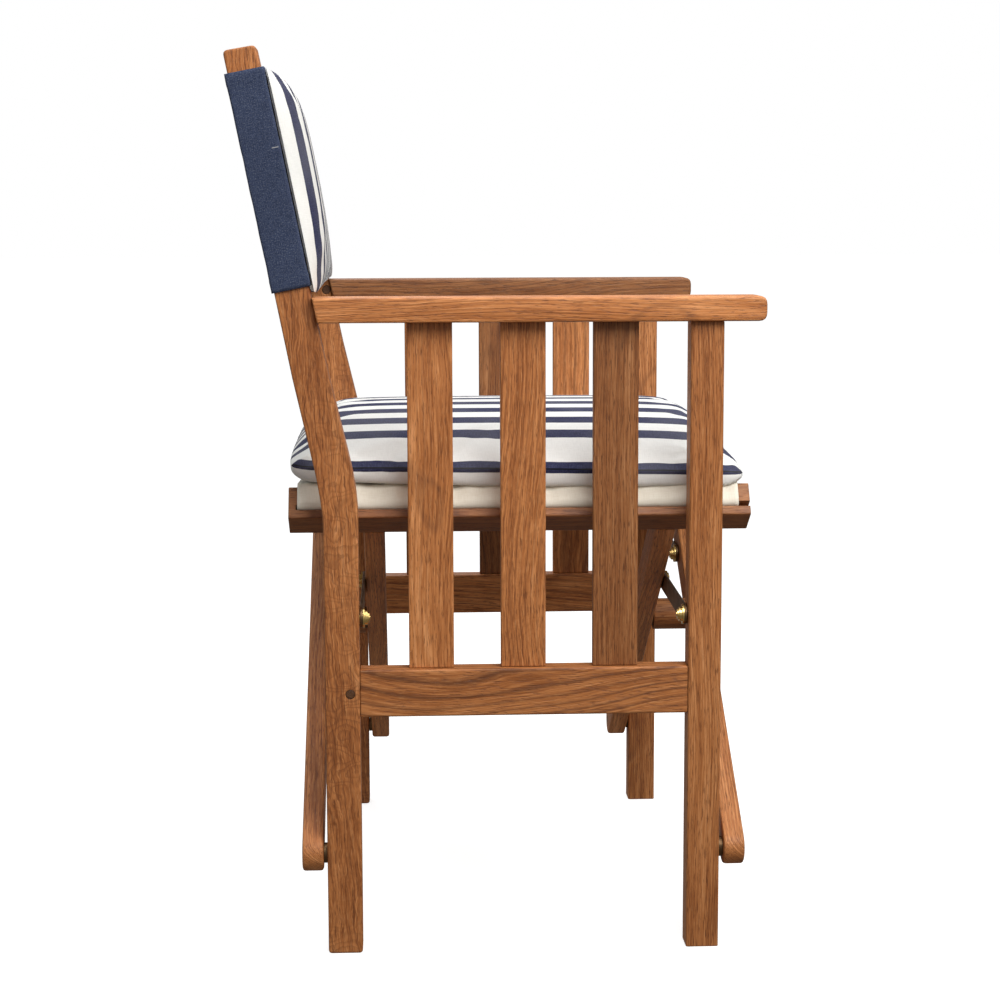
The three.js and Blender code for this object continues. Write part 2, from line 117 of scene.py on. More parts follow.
def studio_world():
    """Soft light from above and round the sides, less from below, and plain white where seen."""
    world = bpy.data.worlds.new("studio")
    world.use_nodes = True
    tree = world.node_tree
    background = tree.nodes["Background"]
    place = tree.nodes.new("ShaderNodeTexCoord")
    split = tree.nodes.new("ShaderNodeSeparateXYZ")
    height = tree.nodes.new("ShaderNodeValToRGB")
    seen = tree.nodes.new("ShaderNodeLightPath")
    white = tree.nodes.new("ShaderNodeBackground")
    choose = tree.nodes.new("ShaderNodeMixShader")
    # the direction's height, from -1 below to 1 above, becomes 0 to 1 for the ramp
    shift = tree.nodes.new("ShaderNodeMath")
    shift.operation = "MULTIPLY_ADD"
    shift.inputs[1].default_value = 0.5
    shift.inputs[2].default_value = 0.5
    tree.links.new(place.outputs["Generated"], split.inputs[0])
    tree.links.new(split.outputs[2], shift.inputs[0])
    tree.links.new(shift.outputs[0], height.inputs[0])
    stops = height.color_ramp.elements
    stops[0].position, stops[0].color = 0.30, (0.20, 0.18, 0.16, 1.0)
    stops[1].position, stops[1].color = 0.62, (0.55, 0.55, 0.55, 1.0)
    tree.links.new(height.outputs[0], background.inputs["Color"])
    background.inputs["Strength"].default_value = 0.85
    white.inputs["Color"].default_value = (1.0, 1.0, 1.0, 1.0)
    white.inputs["Strength"].default_value = 1.0
    tree.links.new(seen.outputs["Is Camera Ray"], choose.inputs[0])
    tree.links.new(background.outputs[0], choose.inputs[1])
    tree.links.new(white.outputs[0], choose.inputs[2])
    tree.links.new(choose.outputs[0], tree.nodes["World Output"].inputs[0])
    bpy.context.scene.world = world


studio_world()
bpy.context.scene.view_settings.view_transform = "Standard"
bpy.context.scene.view_settings.look = "None"


# ---------------------------------------------------------------- material nodes
OBJECT_OUTPUT = 3         # of a Texture Coordinate node
DOT_OUTPUT = 1            # of a Vector Math node


class Shade:
    """A Principled material with short calls for the nodes that feed it."""

    def __init__(self, name):
        self.material = bpy.data.materials.new(name)
        self.material.use_nodes = True
        self.tree = self.material.node_tree
        self.shader = self.tree.nodes["Principled BSDF"]

    def link(self, value, socket):
        if isinstance(value, bpy.types.NodeSocket):
            self.tree.links.new(value, socket)
        elif isinstance(value, (tuple, list)) and len(value) == 3 and socket.type == "RGBA":
            socket.default_value = (*value, 1.0)
        else:
            socket.default_value = value

    def node(self, kind, output=0, settings=(), **inputs):
        n = self.tree.nodes.new(kind)
        for key, value in settings:
            setattr(n, key, value)
        for key, value in inputs.items():
            place = int(key[1:]) if key.startswith("_") else key.replace("_", " ")
            self.link(value, n.inputs[place])
        return n.outputs[output]

    def math(self, operation, a, b=0.0, c=0.0):
        return self.node("ShaderNodeMath", settings=[("operation", operation)], _0=a, _1=b, _2=c)

    def product(self, a, b):
        return self.math("MULTIPLY", a, b)

    def noise(self, place, scale, detail=2.0, roughness=0.5):
        """Noise over a place: scale is one number, or one for each axis."""
        if isinstance(scale, tuple):
            place = self.moved(place, scale=scale)
            scale = 1.0
        return self.node("ShaderNodeTexNoise", Vector=place, Scale=scale, Detail=detail,
                         Roughness=roughness)

    def ramp(self, value, *stops):
        n = self.tree.nodes.new("ShaderNodeValToRGB")
        self.link(value, n.inputs[0])
        elements = n.color_ramp.elements
        while len(elements) < len(stops):
            elements.new(0.5)
        for element, (at, colour) in zip(elements, stops):
            element.position = at
            element.color = (*colour, 1.0) if isinstance(colour, tuple) else (*(colour,) * 3, 1.0)
        return n.outputs[0]

    def mix(self, share, a, b):
        n = self.tree.nodes.new("ShaderNodeMix")
        n.data_type = "RGBA"
        self.link(share, n.inputs[0])
        self.link(a, n.inputs[6])
        self.link(b, n.inputs[7])
        return n.outputs[2]

    def place(self):
        """The object's own coordinates."""
        return self.node("ShaderNodeTexCoord", OBJECT_OUTPUT)

    def split(self, place):
        """The X, Y and Z of a place."""
        n = self.tree.nodes.new("ShaderNodeSeparateXYZ")
        self.link(place, n.inputs[0])
        return n.outputs

    def moved(self, place, turn=(0.0, 0.0, 0.0), scale=(1.0, 1.0, 1.0)):
        return self.node("ShaderNodeMapping", Vector=place, Rotation=turn, Scale=scale)

    def bump(self, height, distance, strength=1.0, under=None):
        inputs = {"Height": height, "Distance": distance, "Strength": strength}
        if under is not None:
            inputs["Normal"] = under
        return self.node("ShaderNodeBump", **inputs)

    def set(self, **inputs):
        for key, value in inputs.items():
            self.link(value, self.shader.inputs[key.replace("_", " ")])
        return self.material


def teak(name, along, seed, figure, spacing, tone, flame=0.0):
    """Teak whose grain runs along a direction.

    figure is how far the grain wanders, from 0 to 1; spacing is between growth rings, in metres;
    tone darkens or lightens the board, partly as its own colour and partly as painted light and shade;
    flame adds ripples and jagged arches to the grain.
    """
    s = Shade(name)

    # each colour of the board scaled by its tone, which is partly painted light and shade
    def toned_and_lit(r, g, b):
        return (r * tone, g * tone, b * tone)

    # the board's own coordinates: Z along the grain, and cut from a place of its own in the tree
    to_board = Vector(along).normalized().rotation_difference(Vector((0.0, 0.0, 1.0))).to_euler()
    board = s.moved(s.place(), turn=tuple(to_board))
    rng = np.random.default_rng(seed)
    cut_from = tuple(float(v) for v in rng.uniform(-3.0, 3.0, 3))
    board = s.node("ShaderNodeVectorMath", settings=[("operation", "ADD")], _0=board, _1=cut_from)
    lean = float(rng.uniform(0.35, 0.75))
    x, y, z = s.split(board)
    # across: how far a point is through the growth rings, which wander, ripple and jag
    slow = s.noise(board, (7.0, 7.0, 2.4), 1.0)
    ripple = s.noise(board, (38.0, 38.0, 16.0))
    jag = s.noise(board, (150.0, 150.0, 55.0))
    across = s.math("ADD", s.product(x, 1.0 - 0.3 * lean), s.product(y, lean))
    across = s.math("MULTIPLY_ADD", slow, 0.012 + 0.090 * figure, across)
    across = s.math("MULTIPLY_ADD", ripple, 0.0004 + 0.0034 * figure + 0.009 * flame, across)
    across = s.math("MULTIPLY_ADD", jag, 0.0002 + 0.0030 * flame, across)
    flow = s.node("ShaderNodeCombineXYZ", _0=across, _1=s.product(y, 0.05), _2=s.product(z, 0.014))
    # growth rings of uneven strength, dark where each year's wood ends
    strength = s.noise(flow, (1.0 / (3.1 * spacing),) * 3, 1.0)
    strength = s.ramp(strength, (0.35, 0.30), (0.58, 1.0))
    ring = s.math("FRACT", s.product(across, 1.0 / spacing))
    late = s.ramp(ring, (0.0, 0.5), (0.07, 0.0), (0.62, 0.05), (0.90, 1.0), (1.0, 0.5))
    late = s.product(late, strength)
    # fine lines and broader bands that follow the rings, and slow clouds
    lines = s.noise(flow, (1300.0,) * 3, 2.0, 0.6)
    bands = s.noise(flow, (150.0,) * 3)
    cloud = s.noise(board, (16.0, 16.0, 5.0), 3.0)
    tint = s.math("ADD", s.product(lines, 0.52), s.product(bands, 0.30))
    tint = s.math("MULTIPLY_ADD", cloud, 0.18, tint)
    base = s.ramp(tint,
                  (0.375, toned_and_lit(0.235, 0.072, 0.016)),
                  (0.455, toned_and_lit(0.370, 0.127, 0.034)),
                  (0.54, toned_and_lit(0.475, 0.180, 0.054)),
                  (0.64, toned_and_lit(0.630, 0.275, 0.105)))
    colour = s.mix(s.product(late, 0.24 + 0.86 * figure), base, toned_and_lit(0.100, 0.032, 0.011))
    # short dark pores and pale flecks
    pores = s.noise(board, (950.0, 950.0, 75.0), 2.0, 0.6)
    dark_pore = s.ramp(pores, (0.34, 1.0), (0.44, 0.0))
    pale_fleck = s.ramp(pores, (0.58, 0.0), (0.72, 1.0))
    colour = s.mix(s.product(dark_pore, 0.70), colour, toned_and_lit(0.110, 0.032, 0.008))
    colour = s.mix(s.product(pale_fleck, 0.30), colour, toned_and_lit(0.70, 0.37, 0.16))
    if flame:
        # jagged arches where a flat-sawn face cuts through the rings, in patches
        arch = s.noise(board, (30.0, 30.0, 46.0), 1.0)
        arch = s.math("MULTIPLY_ADD", s.noise(board, (520.0, 520.0, 60.0), 1.0), 0.055, arch)
        arch = s.math("FRACT", s.product(arch, 9.0))
        arch = s.ramp(arch, (0.0, 1.0), (0.50, 0.0), (0.97, 0.0), (1.0, 1.0))
        patch = s.ramp(s.noise(board, (9.0, 9.0, 6.0), 1.0), (0.42, 0.25), (0.58, 1.0))
        arch = s.product(arch, s.product(patch, flame))
        colour = s.mix(s.product(arch, 0.62), colour, toned_and_lit(0.150, 0.046, 0.014))
    # dark mineral streaks
    streak = s.noise(flow, (46.0, 46.0, 620.0), 1.0)
    streak = s.ramp(streak, (0.66, 0.0), (0.70, 1.0), (0.74, 0.0))
    colour = s.mix(s.product(streak, 0.35), colour, toned_and_lit(0.10, 0.034, 0.012))
    # edges painted paler, partly as rubbed wear and partly as a painted highlight on the rounded edges:
    # there the rounded normal turns away from the flat one
    edge = s.tree.nodes.new("ShaderNodeBevel")
    edge.samples = 4
    edge.inputs["Radius"].default_value = 0.0022
    flat = s.tree.nodes.new("ShaderNodeNewGeometry")
    match = s.node("ShaderNodeVectorMath", DOT_OUTPUT, settings=[("operation", "DOT_PRODUCT")],
                   _0=edge.outputs[0], _1=flat.outputs["Normal"])
    edge_wear_and_highlight = s.ramp(match, (0.80, 1.0), (0.985, 0.0))
    worn_and_highlit = s.product(edge_wear_and_highlight, s.ramp(cloud, (0.38, 0.15), (0.62, 0.75)))
    # paler colour on the edges: partly wear, partly painted highlight
    colour = s.mix(s.product(worn_and_highlit, 0.42), colour, toned_and_lit(0.62, 0.33, 0.165))
    rough = s.math("MULTIPLY_ADD", lines, 0.26, 0.36)
    height = s.math("SUBTRACT", s.product(lines, 0.6), s.product(dark_pore, 0.6))
    normal = s.bump(height, 0.0005, 0.5, edge.outputs[0])
    normal = s.bump(late, 0.0003, 0.3, normal)
    return s.set(Base_Color=colour, Roughness=rough, Normal=normal, Specular_IOR_Level=0.38)


def metal(name, colour, dull, roughness, spots):
    """Metal with a patina: spots is how strongly the dull colour shows in it."""
    s = Shade(name)
    place = s.place()
    patina = s.noise(place, 55.0, 4.0, 0.6)
    fine = s.noise(place, 900.0)
    tone = s.mix(s.ramp(patina, (0.42, 0.0), (0.68, spots)), colour, dull)
    rough = s.math("ADD", roughness, s.product(patina, 0.22))
    normal = s.bump(fine, 0.00015, 0.25)
    return s.set(Base_Color=tone, Metallic=1.0, Roughness=rough, Normal=normal)


BRASS = metal("brass", (0.80, 0.58, 0.22), (0.42, 0.25, 0.09), 0.14, 0.55)
BRONZE = metal("bronze_strap", (0.19, 0.115, 0.060), (0.085, 0.050, 0.028), 0.34, 0.8)
END_GRAIN = teak("plug_wood", (1, 0, 0), 91, 0.2, 0.0012, 0.22)


THREAD = 0.0009           # between threads of the canvas
NAVY_DARK, NAVY_LIGHT = (0.012, 0.014, 0.044), (0.036, 0.040, 0.100)
STITCH_HALF = (0.0032, 0.0004)   # of a short bar of stitches


def weave(s, u, v):
    """Height of a plain weave, and the share of warp on top."""
    u = s.product(u, math.pi / THREAD)
    v = s.product(v, math.pi / THREAD)
    warp = s.math("ABSOLUTE", s.math("SINE", u))
    weft = s.math("ABSOLUTE", s.math("SINE", v))
    over = s.product(s.math("SINE", u), s.math("SINE", v))
    over = s.math("ADD", s.product(over, 0.5), 0.5)
    under = s.math("SUBTRACT", 1.0, over)
    return s.math("ADD", s.product(warp, over), s.product(weft, under)), over


def canvas(name, light, dark, stripes=None, seam=0.0011, speckle=0.0, mark=None):
    """Woven cotton canvas on the piece's UV, which is laid out in metres.

    stripes adds (start, end) navy bands along u, with a painted shadow, near black and as wide as seam,
    along the crease where u is 0;
    speckle adds the pale flecks of denim, and mark a short bar of pale stitches round a (u, v) point.
    """
    s = Shade(name)
    uv = s.node("ShaderNodeUVMap", settings=[("uv_map", "cloth")])
    u, v, _ = s.split(uv)
    height, over = weave(s, u, v)
    warp = s.noise(uv, (1300.0, 110.0, 1.0))
    weft = s.noise(uv, (110.0, 1300.0, 1.0))
    cloud = s.noise(uv, (10.0, 10.0, 1.0), 3.0)
    flecks = s.noise(uv, (1100.0, 760.0, 1.0))
    thread = s.math("ADD", s.product(warp, 0.5), s.product(weft, 0.5))
    colour = s.mix(s.ramp(thread, (0.38, 0.0), (0.60, 1.0)), dark, light)
    colour = s.mix(s.product(over, 0.10), colour, dark)
    if speckle:
        pale = s.ramp(flecks, (0.50, 0.0), (0.72, 1.0))
        colour = s.mix(s.product(pale, speckle), colour, (0.30, 0.33, 0.40))
    if stripes:
        # each stripe's edge wavers by a fraction of a thread
        edge_u = s.math("ADD", u, s.product(s.math("SUBTRACT", warp, 0.5), 0.0006))
        bands = None
        for start, end in stripes:
            inside = s.product(s.math("GREATER_THAN", edge_u, start), s.math("LESS_THAN", edge_u, end))
            bands = inside if bands is None else s.math("MAXIMUM", bands, inside)
        navy = s.mix(s.ramp(thread, (0.38, 0.0), (0.62, 1.0)), NAVY_DARK, NAVY_LIGHT)
        pale = s.ramp(flecks, (0.54, 0.0), (0.74, 1.0))
        navy = s.mix(s.product(pale, 0.16), navy, (0.28, 0.30, 0.40))
        colour = s.mix(bands, colour, navy)
        # painted shadow: near black along the seam's crease, where u is 0
        crease_shadow = s.math("LESS_THAN", s.math("ABSOLUTE", u), seam)
        colour = s.mix(s.product(crease_shadow, 0.92), colour, (0.003, 0.003, 0.006))
    if mark:
        near_u, near_v = [
            s.math("LESS_THAN", s.math("ABSOLUTE", s.math("SUBTRACT", at, middle)), half)
            for at, middle, half in zip((u, v), mark, STITCH_HALF)
        ]
        colour = s.mix(s.product(s.product(near_u, near_v), 0.6), colour, (0.60, 0.60, 0.58))
    shaded = tuple(0.5 * c for c in dark)
    colour = s.mix(s.product(s.ramp(cloud, (0.40, 1.0), (0.62, 0.0)), 0.12), colour, shaded)
    normal = s.bump(height, 0.0003, 0.45)
    normal = s.bump(thread, 0.0003, 0.35, normal)
    return s.set(Base_Color=colour, Roughness=0.9, Normal=normal, Sheen_Weight=0.03,
                 Sheen_Roughness=0.5, Specular_IOR_Level=0.15)


CREAM = canvas("cream_canvas", (0.91, 0.87, 0.76), (0.84, 0.79, 0.67))
NAVY = canvas("navy_canvas", (0.047, 0.064, 0.122), (0.020, 0.030, 0.068), speckle=0.30,
              mark=(0.1035, 0.1745))


# ---------------------------------------------------------------- wood and metal: the CAD nodes
FIRST_SEED = 40           # of the boards, counted in the order of the nodes' names


def finish_node(o, material):
    """Gives a CAD node its material and rounds its shading without changing its mesh."""
    o.data.materials.clear()
    o.data.materials.append(material)
    for polygon in o.data.polygons:
        polygon.use_smooth = True
    weld = o.modifiers.new("weld", "WELD")
    weld.merge_threshold = 1e-5
    split = o.modifiers.new("crisp", "EDGE_SPLIT")
    split.split_angle = math.radians(38.0)
    split.use_edge_sharp = False
    normals = o.modifiers.new("even", "WEIGHTED_NORMAL")
    normals.mode = "FACE_AREA_WITH_ANGLE"
    normals.keep_sharp = True


OUTER_ALONG = (math.sin(LEG_ANGLE), 0.0, math.cos(LEG_ANGLE))
INNER_ALONG = (-math.sin(LEG_ANGLE), 0.0, math.cos(LEG_ANGLE))
# along, figure, ring spacing, tone and flame of the boards, by what is in a node's name: the
# first that fits counts, so the left side's own boards stand before those of both sides
# the tones are partly each board's own colour and partly painted light and shade, set for how brightly
# its side of the chair is lit
BOARDS = {
    "outer_": (OUTER_ALONG, 0.12, 0.0021, 1.12, 0.0),
    "inner_": (INNER_ALONG, 0.12, 0.0021, 1.28, 0.0),
    "front_post": ((0, 0, 1), 0.10, 0.0017, 1.02, 0.0),
    "rear_post": ((0, 0.06, 1), 0.16, 0.0023, 1.14, 0.85),
    # the far armrest's low tone is painted shade
    "left_armrest": ((0, 1, 0), 0.25, 0.0026, 0.60, 0.0),
    "armrest": ((0, 1, 0), 0.20, 0.0024, 1.22, 0.0),
    "left_side_rail": ((0, 1, 0.03), 0.30, 0.0040, 1.25, 0.0),
    "side_rail": ((0, 1, 0.03), 0.60, 0.0062, 1.10, 0.0),
    "left_slat_rear": ((0, 0, 1), 0.20, 0.0024, 0.84, 0.0),
    "left_slat_middle": ((0, 0, 1), 0.40, 0.0048, 0.66, 0.0),
    "left_slat_front": ((0, 0, 1), 0.50, 0.0052, 1.22, 0.0),
    "slat_front": ((0, 0, 1), 0.08, 0.0018, 0.70, 0.0),
    "slat_middle": ((0, 0, 1), 0.20, 0.0026, 1.20, 0.22),
    "slat_rear": ((0, 0, 1), 0.12, 0.0022, 1.18, 0.0),
    "seat_rail": ((0, 1, 0), 0.15, 0.0030, 0.70, 0.0),
    "hem_rod": ((0, 1, 0), 0.10, 0.0020, 0.9, 0.0),
    "spacer": ((0, 1, 0), 0.20, 0.0030, 0.85, 0.0),
}
for count, name in enumerate(sorted(nodes)):
    if name.endswith("strap") or "washer" in name or name.endswith("_pin"):
        material = BRONZE
    elif name.endswith(("_bolt", "_nut")):
        material = BRASS
    elif name.endswith(("_peg", "_plug")):
        material = END_GRAIN
    elif name.endswith(("_sling", "_cushion", "_panel", "_sleeve")):
        material = CREAM
    else:
        along, *grain = next(BOARDS[part] for part in BOARDS if part in name)
        material = teak(f"teak_{name}", along, FIRST_SEED + count, *grain)
    finish_node(nodes[name], material)


# ---------------------------------------------------------------- soft parts
def grown(distance, reach):
    """0 at an edge, towards 1 far from it."""
    return 1.0 - np.exp(-distance / reach)


def new_piece(name, points, faces, uv, material):
    """A mesh piece, smooth, with its cloth coordinates in metres: uv is one pair per face corner."""
    mesh = bpy.data.meshes.new(name)
    mesh.from_pydata([tuple(p) for p in points], [], [tuple(int(i) for i in f) for f in faces])
    layer = mesh.uv_layers.new(name="cloth")
    layer.data.foreach_set("uv", np.asarray(uv, float).reshape(-1))
    mesh.materials.append(material)
    mesh.polygons.foreach_set("use_smooth", [True] * len(mesh.polygons))
    mesh.validate()
    mesh.update()
    o = bpy.data.objects.new(name, mesh)
    bpy.context.scene.collection.objects.link(o)
    return o


def set_points(piece, points):
    piece.data.vertices.foreach_set("co", np.asarray(points, float).reshape(-1))
    piece.data.update()


def get_points(mesh):
    found = np.empty(len(mesh.vertices) * 3)
    mesh.vertices.foreach_get("co", found)
    return found.reshape(-1, 3)


def subdivide(piece, levels=1):
    m = piece.modifiers.new("smooth", "SUBSURF")
    m.levels = levels
    m.render_levels = levels


def thicken(piece, thickness, offset):
    m = piece.modifiers.new("thickness", "SOLIDIFY")
    m.thickness = thickness
    m.offset = offset


def crowded(count):
    """Numbers from -1 to 1 that stand closer together towards both ends."""
    return 0.5 * np.sin(np.linspace(-np.pi / 2, np.pi / 2, count)) + 0.5 * np.linspace(-1, 1, count)


def quads_of(grid):
    """The quads of a grid of point numbers, facing so that +u then +v turn anticlockwise."""
    corners = [grid[:-1, :-1], grid[:-1, 1:], grid[1:, 1:], grid[1:, :-1]]
    return np.stack(corners, axis=-1).reshape(-1, 4)


def envelope(columns, rows):
    """u, v, face of every point of two layers that share their outline, and the quads.

    face is 1 on the upper layer and its outline, and -1 on the lower layer.
    """
    u, v = crowded(columns + 1), crowded(rows + 1)
    top = np.arange((rows + 1) * (columns + 1)).reshape(rows + 1, columns + 1)
    under = top.copy()
    inner = (rows - 1) * (columns - 1)
    under[1:-1, 1:-1] = top.size + np.arange(inner).reshape(rows - 1, columns - 1)
    uu, vv = np.meshgrid(u, v)
    u_all = np.concatenate([uu.ravel(), uu[1:-1, 1:-1].ravel()])
    v_all = np.concatenate([vv.ravel(), vv[1:-1, 1:-1].ravel()])
    face = np.concatenate([np.ones(top.size), -np.ones(inner)])
    return u_all, v_all, face, np.concatenate([quads_of(top), quads_of(under)[:, ::-1]])


def relaxed(points, faces, rounds):
    """The rows of points after that many rounds of moving each towards its neighbours' mean."""
    a = np.concatenate([faces[:, k] for k in range(4)])
    b = np.concatenate([faces[:, (k + 1) % 4] for k in range(4)])
    count = np.bincount(a, minlength=len(points)) + np.bincount(b, minlength=len(points))
    moved = points.copy()
    for _ in range(rounds):
        total = np.zeros_like(moved)
        for axis in range(3):
            total[:, axis] = (np.bincount(a, moved[b, axis], len(points))
                              + np.bincount(b, moved[a, axis], len(points)))
        moved = 0.5 * moved + 0.5 * total / count[:, None]
    return moved


CLOTH_FRAMES = 20         # of the simulation


def inflated(piece, pressure, cap, pinned):
    """Where a cloth simulation under pressure takes each point, moved by no more than cap."""
    rest = get_points(piece.data)
    cloth = piece.modifiers.new("cloth", "CLOTH")
    settings = cloth.settings
    settings.quality = 8
    settings.mass = 0.12
    settings.tension_stiffness = 12.0
    settings.compression_stiffness = 12.0
    settings.shear_stiffness = 4.0
    settings.bending_stiffness = 0.02
    settings.use_pressure = True
    settings.uniform_pressure_force = pressure
    settings.effector_weights.gravity = 0.0
    if pinned is not None:
        group = piece.vertex_groups.new(name="held")
        group.add([int(i) for i in pinned], 1.0, "REPLACE")
        settings.vertex_group_mass = "held"
    cloth.point_cache.frame_start = 1
    cloth.point_cache.frame_end = CLOTH_FRAMES
    for number in range(1, CLOTH_FRAMES + 1):
        bpy.context.scene.frame_set(number)
    shown = piece.evaluated_get(bpy.context.evaluated_depsgraph_get())
    moved = get_points(shown.data)
    piece.modifiers.remove(cloth)
    bpy.context.scene.frame_set(1)
    step = moved - rest
    length = np.linalg.norm(step, axis=1, keepdims=True)
    return rest + step * np.minimum(1.0, cap / np.maximum(length, 1e-9))


def arc(points):
    """Distance along a line of points, from its start."""
    return np.concatenate([[0.0], np.cumsum(np.linalg.norm(np.diff(points, axis=0), axis=1))])


def length_along(values, form, keep):
    """Distance along the form at each value, measured on the kept row of points."""
    found, first = np.unique(values[keep], return_index=True)
    return np.interp(values, found, arc(form[keep][first]))


FLATTENED = 0.72          # fill of the form that the simulation starts from
SMOOTHING = 40            # rounds that take a fold's broad part away


def pillow(name, columns, rows, shape, cut, material, pressure, cap, under_shift=0.0, calm=None):
    """A stuffed envelope: shape(u, v, face, fill) gives points, and the simulation adds its puckers.

    cut is how much wider the cloth is than the finished form, and under_shift moves the underside's
    stripes. The finished form keeps the low, broad shape of shape() and takes only the folds from
    the simulation. calm() says how much of them, and a piece that has one is held at its two ends.
    """
    u, v, face, quads = envelope(columns, rows)
    form = shape(u, v, face, 1.0)
    on_top = face > 0
    length_u = length_along(u, form, (np.abs(v) == np.abs(v).min()) & on_top)
    length_v = length_along(v, form, (np.abs(u) == np.abs(u).min()) & on_top)
    from_side = np.minimum(length_u, length_u.max() - length_u)
    cloth_uv = np.stack([from_side, length_v - length_v.max() / 2], axis=1)
    corners = cloth_uv[quads]
    corners[(columns * rows):, :, 0] += under_shift
    piece = new_piece(name, form, quads, corners.reshape(-1, 2), material)
    flat = shape(u, v, face, FLATTENED)
    middle = flat.mean(axis=0)
    set_points(piece, middle + (flat - middle) * cut)
    pinned = np.flatnonzero(np.abs(u) > 0.999) if calm else None
    start = get_points(piece.data)
    step = inflated(piece, pressure, cap, pinned) - start
    folds = step - relaxed(step, quads, SMOOTHING)
    form = form + (folds * calm(form, face)[:, None] if calm else folds)
    set_points(piece, form)
    subdivide(piece)
    return piece


# seat cushion: its seam rises towards the rear, and its corners turn away from level a little
CUSHION_HALF = (0.235, 0.2300)
CUSHION_MIDDLE_Y = -0.0212
CUSHION_SEAM = (0.4733, 0.4813)   # height of the seam, front and rear
CUSHION_CREST = 0.5262
CORNER_TURN = 0.002       # front corners down, rear corners up
SIDES_PULL = 0.020        # how far the sides pull in at the corners, as a share
DOME = 0.100              # reach of the crown across the seat
FRONT_ROUND = 0.024       # reach of the crown's roll at the front and rear
KNIFE = 0.010             # reach of the underside's taper at the front and rear
DENT = 0.0012             # depth of the stuffing's dents
# underside from the seam inwards, as (inwards, down): a crease, a soft belly, then flat
BELLY = np.array([
    (0, 0), (1.3, 1.2), (0.6, 4.5), (-0.4, 10.0), (-0.2, 15.0), (1.0, 19.0),
    (3.2, 20.8), (6.0, 19.6), (9.5, 17.4), (14, 16.6), (20, 16.6), (235, 22.3),
]) / 1000.0
BELLY_WIDTH = BELLY[-1, 0]
BELLY_SLACK = 0.012       # how much longer the underside's line is than it is wide


def belly(away, half):
    """How far in and how far down the underside is, at a distance from the seam on the flat."""
    share = away / half * (BELLY_WIDTH + BELLY_SLACK)
    at = arc(BELLY)
    at = at / at[-1] * (BELLY_WIDTH + BELLY_SLACK)
    inwards = np.interp(share, at, BELLY[:, 0]) * half / BELLY_WIDTH
    return inwards, np.interp(share, at, BELLY[:, 1])


def cushion_shape(u, v, face, fill):
    half_x, half_y = CUSHION_HALF
    low = face < 0
    away_x, away_y = half_x * (1 - np.abs(u)), half_y * (1 - np.abs(v))
    corner = np.abs(u * v) ** 9
    seam = CUSHION_SEAM[0] + (v + 1) / 2 * (CUSHION_SEAM[1] - CUSHION_SEAM[0])
    seam = seam - CORNER_TURN * corner * (v < 0) + CORNER_TURN * corner * (v > 0)
    whole = grown(half_x, DOME) ** 2
    crown = grown(away_x, DOME) * grown(2 * half_x - away_x, DOME) / whole * grown(away_y, FRONT_ROUND)
    inwards, down = belly(away_x, half_x)
    down = down * grown(away_y, KNIFE) * fill
    away_x = np.where(low, inwards, away_x)
    # shallow dents in rows just inside the seam, all round
    dents = np.sin(v * 15.0 + np.sign(u) * 0.9) + 0.6 * np.sin(v * 26.0 + np.sign(u) * 2.0)
    side = np.exp(-((away_x - 0.028) / 0.016) ** 2) * (1 - np.abs(v) ** 6)
    dents_front = np.sin(u * 14.0 + np.sign(v)) + 0.6 * np.sin(u * 25.0)
    front = np.exp(-((away_y - 0.020) / 0.012) ** 2) * (1 - np.abs(u) ** 6)
    x = np.sign(u) * (half_x - away_x) * (1 - SIDES_PULL * np.abs(v) ** 7)
    y = CUSHION_MIDDLE_Y + np.sign(v) * (half_y - away_y) * (1 - SIDES_PULL * np.abs(u) ** 7)
    z = np.where(low, seam - down, seam + fill * (CUSHION_CREST - seam) * crown)
    z = z + np.where(low, 0.0, DENT * fill * (dents * side + dents_front * front))
    return np.stack([x, y, z], axis=1)


# back panel and sleeves, in a frame that lies along the sloping part of the posts
BEND_Y, BEND_Z = 0.194, 0.620   # where that frame starts


def on_slope(x, y, z):
    """Points given across, behind and along the slope, in the chair's place."""
    c, s = math.cos(POST_SLOPE), math.sin(POST_SLOPE)
    return np.stack([x, BEND_Y + SHIFT_Y + y * c + z * s, BEND_Z - y * s + z * c], axis=1)


PANEL_HALF = 0.2852       # the panel is sewn to the sleeves at their front corners
PANEL_FROM, PANEL_TO = 0.0290, 0.2500
LOW_RISE = 0.0045         # of its lower edge at the two ends
TOP_SAG = 0.0050          # of its upper edge in the middle
BETWEEN_SLEEVES = 0.2375  # half the width that bulges back between the sleeves
CLEAR_WIDTH = 0.2180      # half the width that clears the leaning left sleeve when folded
PANEL_CROWN = 0.0245      # depth of the filling at the front
PANEL_SHARE, PANEL_LEAN = 0.815, 0.37   # of that depth in the middle, and more to the right
PANEL_BACK = 0.011        # depth of the filling at the back
PANEL_SETTLED = 0.010     # more of it low down at the back
PANEL_SEAM = -0.0013      # in front of the post's front face, negative towards the sitter
FOLDS_KEPT = 0.4          # of the simulation's folds
CALM_REACH = 0.020        # over which the folds fade at the seams


